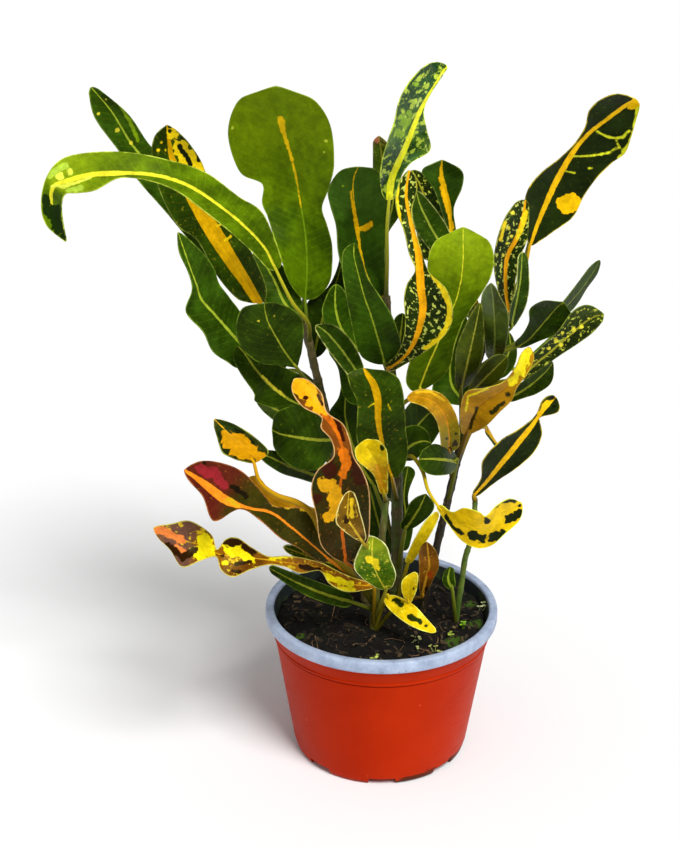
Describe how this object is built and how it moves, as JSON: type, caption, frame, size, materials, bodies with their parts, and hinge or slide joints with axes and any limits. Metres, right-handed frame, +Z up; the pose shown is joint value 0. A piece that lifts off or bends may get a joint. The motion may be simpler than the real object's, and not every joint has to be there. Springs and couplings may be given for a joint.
{
  "type": "potted croton",
  "caption": "Croton house plant with twisted, narrow-waisted variegated leaves, standing in a tapered two-colour plastic nursery pot of dark mix.",
  "frame": {"origin": "middle of the pot's underside, on the surface that the pot stands on", "axes": "+Z up; the plant's face in the picture is seen along +Y, with +X to its right"},
  "size_m": [0.3123, 0.1981, 0.4157],
  "materials": {
    "pot": "terracotta orange outside, pale blue-grey lip and dark grey-green inner face, satin",
    "potting_mix": "coarse, moist, near-black bark and peat with pale chips and fibres",
    "leafy_shoot": "waxy leaves, olive to near-black green, blotched and ribbed with yellow, orange and red"
  },
  "bodies": {
    "root": {"pot": "pot", "potting_mix": "potting_mix", "left_shoot": "leafy_shoot", "centre_shoot": "leafy_shoot", "right_shoot": "leafy_shoot", "front_shoot": "leafy_shoot", "small_shoot": "leafy_shoot"}
  },
  "joints": []
}
